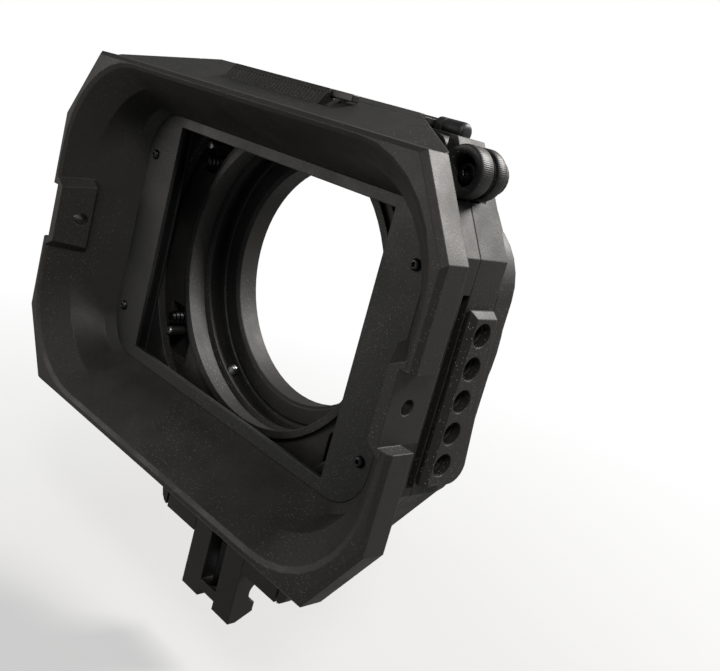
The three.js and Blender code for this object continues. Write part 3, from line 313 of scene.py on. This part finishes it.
def new_object(name, bm, node):
    """The mesh as an object with the node's material, without the normals that came with the CAD's mesh."""
    mesh = bpy.data.meshes.new(name)
    bm.to_mesh(mesh)
    bm.free()
    stored_normals = mesh.attributes.get("custom_normal")
    if stored_normals:
        mesh.attributes.remove(stored_normals)
    obj = bpy.data.objects.new(name, mesh)
    bpy.context.collection.objects.link(obj)
    mesh.materials.append(MATERIAL[SLOT_OF[node]])
    return obj


def settle(obj, node, width, segments=EDGE_SEGMENTS, angle=SHARP_ANGLE):
    """Rounds the piece's edges, smooths it and puts it in the node's place."""
    for polygon in obj.data.polygons:
        polygon.use_smooth = True
    if width:
        bevel = obj.modifiers.new("edges", "BEVEL")
        bevel.width = width * MM
        bevel.segments = segments
        bevel.limit_method = "ANGLE"
        bevel.angle_limit = math.radians(angle)
        bevel.harden_normals = True
        bevel.loop_slide = False
        bevel.use_clamp_overlap = True
        bevel.miter_outer = "MITER_ARC"
    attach(obj, BODY_OF[node])
    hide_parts(node)


def dress(node, width=0, angle=SHARP_ANGLE, segments=EDGE_SEGMENTS):
    """The CAD node's own shape with rounded edges, or with crisp ones that the shader rounds."""
    bm = bmesh.new()
    bm.from_mesh(frame["nodes"][node].data)
    bmesh.ops.remove_doubles(bm, verts=bm.verts, dist=WELD)
    if width:
        bmesh.ops.dissolve_limit(bm, angle_limit=math.radians(FLAT_ANGLE), verts=bm.verts, edges=bm.edges,
                                 use_dissolve_boundaries=False)
    bmesh.ops.recalc_face_normals(bm, faces=bm.faces)
    obj = new_object(f"{node}_finished", bm, node)
    settle(obj, node, width, segments, angle)
    if not width:
        obj.data.set_sharp_from_angle(angle=math.radians(angle))


def ring_of(bm, radius, height, count, radius_at):
    """The vertices of one circle of a turned piece, or its centre where the radius is 0."""
    if radius == 0:
        return [bm.verts.new((0, 0, height * MM))]
    turns = [math.tau * step / count for step in range(count)]
    radii = [MM * radius_at(radius, height, turn) for turn in turns]
    return [bm.verts.new((here * math.cos(turn), here * math.sin(turn), height * MM))
            for here, turn in zip(radii, turns)]


def plain(radius, height, turn):
    """A turned piece's radius with no thread, knurl or socket."""
    return radius


def lathe(profile, count, radius_at=plain, ring=False):
    """Profile of (radius, height) pairs in mm, turned round Z. A ring's last point joins its first."""
    bm = bmesh.new()
    rings = [ring_of(bm, radius, height, count, radius_at) for radius, height in profile]
    if ring:
        rings.append(rings[0])
    for low, high in zip(rings, rings[1:]):
        for step in range(count):
            after = (step + 1) % count
            below = (low[step % len(low)], low[after % len(low)])
            above = (high[after % len(high)], high[step % len(high)])
            corners = list(dict.fromkeys((*below, *above)))
            if len(corners) > 2:
                bm.faces.new(corners)
    bmesh.ops.recalc_face_normals(bm, faces=bm.faces)
    return bm


# Turns the lathe's own axis, Z, to one of the part's axes
AXIS_TURN = {
    "x": Matrix.Rotation(math.radians(90), 4, "Y"),
    "y": Matrix.Rotation(math.radians(-90), 4, "X"),
    "z": Matrix.Identity(4),
}


def turned(node, axis, profile, width=0, count=ROUND_COUNT, radius_at=plain, angle=SHARP_ANGLE,
           ring=False, flip=False):
    """A turned piece centred on the CAD node's box, its profile counted from the box's low end, or from
    its high end when flipped."""
    low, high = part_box(node)
    at = (low + high) / 2
    setattr(at, axis, getattr(high if flip else low, axis))
    spin = AXIS_TURN[axis]
    if flip:
        spin = spin @ Matrix.Rotation(math.pi, 4, "X")
    bm = lathe(profile, count, radius_at, ring)
    bm.transform(Matrix.Translation(at) @ spin)
    settle(new_object(f"{node}_finished", bm, node), node, width, EDGE_SEGMENTS, angle)


def measure(node, axis, across):
    """A turned piece's radius and length in mm, from the CAD node's box."""
    low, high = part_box(node)
    size = (high - low) / MM
    return getattr(size, across) / 2, getattr(size, axis)


# The large pieces keep the CAD shapes: the shader rounds their edges, or a narrow bevel does

CRISP = ("hood", "hood_mask", "stage_housing", "tray_frame", "tray_cap", "back_plate", "support_plate",
         "support_slide")
BEVELLED = ("tray_catch", "side_plate_right", "side_plate_left", "clamp_ring", "adapter_ring",
            "top_flag_leaf")
PLATE_BEVEL = 0.3
GRIPS = ("clamp_knob", "slide_lock_knob")
GRIP_BEVEL = 0.2
GRIP_SEGMENTS = 2

for name in CRISP:
    dress(name, angle=MOULDED_SHARP_ANGLE)
for name in BEVELLED:
    dress(name, PLATE_BEVEL)
for name in GRIPS:
    dress(name, GRIP_BEVEL, GRIP_SHARP_ANGLE, GRIP_SEGMENTS)


# Round-headed screws with a hex socket, from the head's top to the tip, in mm: rise is the head's height,
# shank the stem's radius, key the socket's half width and depth, and width the bevel

MASK_SCREW = {"rise": 1.1, "shank": 0.9, "key": 0.75, "width": 0.04}
PLATE_SCREW = {"rise": 2.2, "shank": 1.4, "key": 1.15, "width": 0.1, "flip": True}
LOCK_SCREW = {"rise": 2.6, "shank": 1.9, "key": 1.3, "width": 0.1, "count": 64}

# The head's outline and its socket's mouth, as shares of the head's radius and height
DOME = ((0.72, 0.12), (0.9, 0.4), (0.985, 0.75), (1, 1))
MOUTH_FLARE = 0.12
MOUTH_DROP = 0.04

# A point is in the socket up to this far past its half width or its depth
SOCKET_SLACK = 0.01

TIP_BREAK = 0.2
HEX_TURN = math.pi / 3


def hexed(key):
    """Makes the socket's radii six-sided down to its floor."""
    def radius_at(radius, height, turn):
        if radius > key + SOCKET_SLACK or height > key + SOCKET_SLACK:
            return radius
        return radius * math.cos(HEX_TURN / 2) / math.cos(turn % HEX_TURN - HEX_TURN / 2)
    return radius_at


def screw(node, rise, shank, key, width, count=ROUND_COUNT, flip=False):
    """A screw along Y with the CAD node's head radius and length."""
    head, length = measure(node, "y", "x")
    socket = [(0, key), (key, key), (key, MOUTH_DROP * rise), (key + MOUTH_FLARE * head, 0)]
    dome = [(out * head, down * rise) for out, down in DOME]
    stem = [(shank, rise), (shank, length - TIP_BREAK), (shank - TIP_BREAK, length), (0, length)]
    profile = [*socket, *dome, *stem]
    turned(node, "y", profile, width, count, hexed(key), TURNED_SHARP_ANGLE, flip=flip)


for number in range(1, 5):
    screw(f"mask_screw_{number}", **MASK_SCREW)
    screw(f"body_screw_{number}", **PLATE_SCREW)
for number in range(1, 3):
    screw(f"support_screw_{number}", **PLATE_SCREW)
screw("hood_lock_screw", **LOCK_SCREW)


# Pins and rods with broken ends

ROD_RADIUS = 1.1
ROD_HEAD = 1.2
ROD_HEAD_SLOPE = 0.05
ROD_BREAK = 0.2
ROD_TIP = 0.3


def pin(node, axis, across, end, count):
    """A plain round pin whose ends are cut off at 45 degrees."""
    radius, length = measure(node, axis, across)
    side = [(radius - end, 0), (radius, end), (radius, length - end), (radius - end, length)]
    turned(node, axis, [(0, 0), *side, (0, length)], count=count)


def flag_rod(node):
    """The hinge's rod, with a flat head at its left end."""
    radius, length = measure(node, "x", "z")
    head = [(0, 0), (radius - ROD_BREAK, 0), (radius, ROD_BREAK), (radius, ROD_HEAD)]
    stem = [(ROD_RADIUS, ROD_HEAD + ROD_HEAD_SLOPE), (ROD_RADIUS, length - ROD_TIP),
            (ROD_RADIUS - ROD_BREAK, length), (0, length)]
    turned(node, "x", [*head, *stem])


pin("guide_rod", "z", "x", end=0.3, count=64)
for number in range(1, 3):
    pin(f"tray_cap_pin_{number}", "y", "x", end=0.1, count=32)
flag_rod("top_flag_rod")


# Dowel pins: the front end is round, its outline in shares of the radius and of the nose's length

DOWEL_NOSE = ((0, 0), (0.6, 0.04), (0.83, 0.25), (0.97, 0.6), (1, 1))
DOWEL_NOSE_LENGTH = 0.8
DOWEL_END_LENGTH = 0.4
DOWEL_END_INSET = 0.3


def dowel(node):
    radius, length = measure(node, "y", "x")
    nose = [(radius * out, DOWEL_NOSE_LENGTH * back) for out, back in DOWEL_NOSE]
    end = [(radius, length - DOWEL_END_LENGTH), (radius - DOWEL_END_INSET, length), (0, length)]
    turned(node, "y", [*nose, *end])


# Ring screws, whose threaded tips are seen through the window. A chamfer is a pair: in from the radius,
# and along the screw

THREAD_PITCH = 1.6
THREAD_ROOT = 1.65
THREAD_CREST = 2.2
THREAD_LENGTH = 8.0
THREAD_STEP = 0.12
THREAD_RUN_IN = 1.5
THREAD_SIDES = 40
RING_SCREW_HEAD = 2.4
RING_SCREW_CHAMFER = (0.3, 0.5)
RING_SCREW_BEVEL = 0.03


def thread(pitch, root, crest, end):
    """A helix on the profile's full radius, up to a height; it starts shallow at the tip."""
    def radius_at(radius, height, turn):
        if radius < root or height > end:
            return radius
        wave = (height / pitch - turn / math.tau) % 1.0
        share = 1.0 - abs(2.0 * wave - 1.0)
        taper = min(1.0, height / pitch * THREAD_RUN_IN)
        return root + (crest - root) * share * taper
    return radius_at


def ring_screw(node):
    radius, length = measure(node, "y", "x")
    inset, rise = RING_SCREW_CHAMFER
    seat = length - RING_SCREW_HEAD
    steps = range(int(THREAD_LENGTH / THREAD_STEP) + 1)
    stem = [(0, 0), *[(THREAD_CREST, THREAD_STEP * step) for step in steps], (THREAD_CREST, seat)]
    head = [(radius, seat), (radius, length - rise), (radius - inset, length), (0, length)]
    helix = thread(THREAD_PITCH, THREAD_ROOT, THREAD_CREST, THREAD_LENGTH)
    turned(node, "y", [*stem, *head], RING_SCREW_BEVEL, THREAD_SIDES, helix, FINE_SHARP_ANGLE)


for number in range(1, 5):
    ring_screw(f"ring_screw_{number}")
    dowel(f"dowel_pin_{number}")


# Grub screws point at the lens axis

GRUB_DEGREES = (118, 238, 358)
GRUB_TIP_STATION = 45.2
GRUB_RADIUS = 1.9
GRUB_LENGTH = 15.6
GRUB_NECK_RADIUS = 1.3
GRUB_NECK_LENGTH = 1.1
GRUB_CHAMFER = (0.4, 0.35)
GRUB_SHOULDER = 0.2
GRUB_SOCKET_RADIUS = 1.1
GRUB_SOCKET_DEPTH = 1.8
GRUB_RIM_SLOPE = 0.1
GRUB_PITCH = 0.7
GRUB_THREAD_DEPTH = 0.2
GRUB_THREAD_END = 13.0


def grub_screw(node, degrees):
    low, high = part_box(node)
    outward = Vector((math.cos(math.radians(degrees)), 0, math.sin(math.radians(degrees))))
    at = outward * GRUB_TIP_STATION * MM + Vector((0, (low.y + high.y) / 2, 0))
    inset, rise = GRUB_CHAMFER
    socket_floor = GRUB_LENGTH - GRUB_SOCKET_DEPTH
    point = [(0, 0), (GRUB_NECK_RADIUS - inset, 0), (GRUB_NECK_RADIUS, rise)]
    neck = [(GRUB_NECK_RADIUS, GRUB_NECK_LENGTH), (GRUB_RADIUS, GRUB_NECK_LENGTH + GRUB_SHOULDER)]
    rim = [(GRUB_RADIUS, GRUB_LENGTH - GRUB_RIM_SLOPE), (GRUB_SOCKET_RADIUS, GRUB_LENGTH)]
    socket = [(GRUB_SOCKET_RADIUS, socket_floor), (0, socket_floor)]
    helix = thread(GRUB_PITCH, GRUB_RADIUS - GRUB_THREAD_DEPTH, GRUB_RADIUS, GRUB_THREAD_END)
    bm = lathe([*point, *neck, *rim, *socket], ROUND_COUNT, helix)
    bm.transform(Matrix.Translation(at) @ outward.to_track_quat("Z", "Y").to_matrix().to_4x4())
    settle(new_object(f"{node}_finished", bm, node), node, 0)


for number, degrees in enumerate(GRUB_DEGREES, 1):
    grub_screw(f"grub_screw_{number}", degrees)


# A ring knob with a fine knurl and a groove round it, and the top flag's knob

LOCK_HOLE_RADIUS = 4.0
LOCK_HOLE_DEPTH = 5.0
LOCK_BORE_RADIUS = 2.2
LOCK_GROOVE_RADIUS = 5.2
LOCK_GROOVE_FRONT = 4.6
LOCK_GROOVE_REAR = 6.5
LOCK_SIDES = 480
LOCK_BEVEL = 0.08
LOCK_KNURLS = 80
LOCK_KNURL_DEPTH = 0.07
LOCK_KNURL_SLACK = 0.1
LOCK_KNURL_FRONT = 0.45
LOCK_KNURL_REAR = 0.7

# How the corners are rounded: pairs of an inset from the radius and a way along the knob
LOCK_MOUTH_ROUND = 0.35
LOCK_FRONT_ROUND = ((0.5, 0), (0.15, 0.15), (0, 0.5))
LOCK_REAR_ROUND = ((0, 0.8), (0.25, 0.25), (0.8, 0))
LOCK_GROOVE_ROUND = 0.4
LOCK_GROOVE_BREAK = 0.25
LOCK_GROOVE_SLOPE = 0.1

FLAG_BORE_RADIUS = 1.2
FLAG_BORE_DEPTH = 4.8
FLAG_INNER_BREAK = 0.2
FLAG_END_ROUND = ((0, 1.5), (0.1, 0.95), (0.4, 0.45), (0.9, 0.13))
FLAG_SIDES = 72


def knurl(limit, ridges, depth, low, high):
    """Ridges along the piece, on the profile's full radius and between two heights."""
    def radius_at(radius, height, turn):
        if radius < limit or not low <= height <= high:
            return radius
        return radius - depth * (0.5 - 0.5 * math.cos(ridges * turn))
    return radius_at


def lock_knob(node):
    radius, length = measure(node, "y", "x")
    mouth = [(LOCK_HOLE_RADIUS, LOCK_MOUTH_ROUND), (LOCK_HOLE_RADIUS + LOCK_MOUTH_ROUND, 0)]
    front = [(radius - inset, back) for inset, back in LOCK_FRONT_ROUND]
    groove_front = [(radius, LOCK_GROOVE_FRONT - LOCK_GROOVE_ROUND),
                    (radius - LOCK_GROOVE_BREAK, LOCK_GROOVE_FRONT),
                    (LOCK_GROOVE_RADIUS, LOCK_GROOVE_FRONT + LOCK_GROOVE_SLOPE)]
    groove_rear = [(LOCK_GROOVE_RADIUS, LOCK_GROOVE_REAR - LOCK_GROOVE_SLOPE),
                   (radius - LOCK_GROOVE_BREAK, LOCK_GROOVE_REAR),
                   (radius, LOCK_GROOVE_REAR + LOCK_GROOVE_ROUND)]
    rear = [(radius - inset, length - ahead) for inset, ahead in LOCK_REAR_ROUND]
    inside = [(LOCK_BORE_RADIUS, length), (LOCK_BORE_RADIUS, LOCK_HOLE_DEPTH),
              (LOCK_HOLE_RADIUS, LOCK_HOLE_DEPTH)]
    grip = knurl(radius - LOCK_KNURL_SLACK, LOCK_KNURLS, LOCK_KNURL_DEPTH, LOCK_KNURL_FRONT,
                 length - LOCK_KNURL_REAR)
    profile = [*mouth, *front, *groove_front, *groove_rear, *rear, *inside]
    turned(node, "y", profile, LOCK_BEVEL, LOCK_SIDES, grip, FINE_SHARP_ANGLE, ring=True)


def flag_knob(node):
    """A short barrel with a rounded end and a blind bore for the hinge's rod."""
    radius, length = measure(node, "x", "z")
    bore = [(0, FLAG_BORE_DEPTH), (FLAG_BORE_RADIUS, FLAG_BORE_DEPTH), (FLAG_BORE_RADIUS, 0)]
    inner = [(radius - FLAG_INNER_BREAK, 0), (radius, FLAG_INNER_BREAK)]
    end = [(radius - inset, length - ahead) for inset, ahead in FLAG_END_ROUND]
    turned(node, "x", [*bore, *inner, *end, (FLAG_BORE_RADIUS, length), (0, length)], count=FLAG_SIDES)


lock_knob("hood_lock_knob")
flag_knob("top_flag_knob")


# Camera: its place, and where its right, its top and its back point, fitted to the photograph

LENS = 45.48
SENSOR_WIDTH = 36.0
SHIFT = (0.00764, -0.0244)
CLIP_START = 0.01
EYE = Vector((0.20981, -0.22433, 0.06004))
TO_RIGHT = Vector((0.665019, 0.701247, 0.256908))
TO_TOP = Vector((-0.340772, -0.021176, 0.939907))
TO_BACK = Vector((0.664548, -0.712604, 0.224883))

scene = bpy.context.scene
camera = bpy.data.objects.new("camera", bpy.data.cameras.new("camera"))
scene.collection.objects.link(camera)
camera.data.lens = LENS
camera.data.sensor_width = SENSOR_WIDTH
camera.data.shift_x, camera.data.shift_y = SHIFT
camera.data.clip_start = CLIP_START
turn = Matrix((TO_RIGHT, TO_TOP, TO_BACK)).transposed().to_4x4()
camera.matrix_world = Matrix.Translation(EYE) @ turn
scene.camera = camera


# Light: a key from behind, above and to the right, a low fill from the left and a front light, all warm

CENTRE = Vector((0, -0.04, 0))
LIGHTS = {
    "key": {"place": (0.36, 0.86, 0.9), "size": 0.45, "watts": 32, "tint": (1.0, 0.97, 0.93)},
    "fill": {"place": (-0.9, -0.95, 0.2), "size": 0.6, "watts": 5.5, "tint": (1.0, 0.96, 0.91)},
    "front": {"place": (0.8, -0.7, 0.95), "size": 0.25, "watts": 10, "tint": (1.0, 0.98, 0.95)},
}


def area_light(name, place, size, watts, tint):
    """A square light, in metres, turned to the part's middle."""
    data = bpy.data.lights.new(name, "AREA")
    data.size = size
    data.energy = watts
    data.color = tint
    light = bpy.data.objects.new(name, data)
    scene.collection.objects.link(light)
    light.location = place
    light.rotation_euler = (CENTRE - light.location).to_track_quat("-Z", "Y").to_euler()


for name, light in LIGHTS.items():
    area_light(name, **light)


# Floor: dark to the other rays, so that it doesn't light the sides, and fading out of the camera's sight

FLOOR_DROP = 20 * MM
FLOOR_HALF_WIDTH = 3
FLOOR_TONE = 0.22
FLOOR_SEEN_TONE = 0.4
FADE_FROM = 0.1
FADE_TO = 0.42
FADE_STRENGTH = 0.5


def paper():
    graph = Graph(bpy.data.materials.new("paper"))
    eye = graph.add("ShaderNodeLightPath").outputs["Is Camera Ray"]
    tone = graph.mix(eye, grey(FLOOR_TONE), grey(FLOOR_SEEN_TONE))
    matt = graph.add("ShaderNodeBsdfDiffuse", {"Color": tone}).outputs["BSDF"]
    spot = graph.add("ShaderNodeTexCoord").outputs["Object"]
    distance = graph.add("ShaderNodeVectorMath", {0: spot}, operation="LENGTH").outputs["Value"]
    near = graph.ramp(distance, FADE_FROM, FADE_TO, FADE_STRENGTH, 0.0)
    through = graph.add("ShaderNodeBsdfTransparent").outputs["BSDF"]
    cover = graph.add("ShaderNodeMixShader", {0: graph.mix_value(eye, 1.0, near), 1: through, 2: matt})
    graph.add("ShaderNodeOutputMaterial", {"Surface": cover.outputs["Shader"]})
    return graph.owner


floor_mesh = bpy.data.meshes.new("floor")
bm = bmesh.new()
bmesh.ops.create_grid(bm, x_segments=1, y_segments=1, size=FLOOR_HALF_WIDTH)
bm.to_mesh(floor_mesh)
bm.free()
floor = bpy.data.objects.new("floor", floor_mesh)
scene.collection.objects.link(floor)
floor.location.z = cad_box[0][2] - FLOOR_DROP
floor_mesh.materials.append(paper())


# World: white where the camera sees it, a dim cool light elsewhere

SKY_TONE = colour(0.9, 0.95, 1.0)
SKY_STRENGTH = 0.2

sky = Graph(bpy.data.worlds.new("studio"))
ray = sky.add("ShaderNodeLightPath").outputs
seen = sky.math("MAXIMUM", ray["Is Camera Ray"], ray["Is Transmission Ray"])
dim = sky.add("ShaderNodeBackground", {"Color": SKY_TONE, "Strength": SKY_STRENGTH}).outputs["Background"]
white = sky.add("ShaderNodeBackground", {"Color": grey(1)}).outputs["Background"]
blend = sky.add("ShaderNodeMixShader", {0: seen, 1: dim, 2: white})
sky.add("ShaderNodeOutputWorld", {"Surface": blend.outputs["Shader"]})
scene.world = sky.owner
scene.view_settings.view_transform = "Standard"
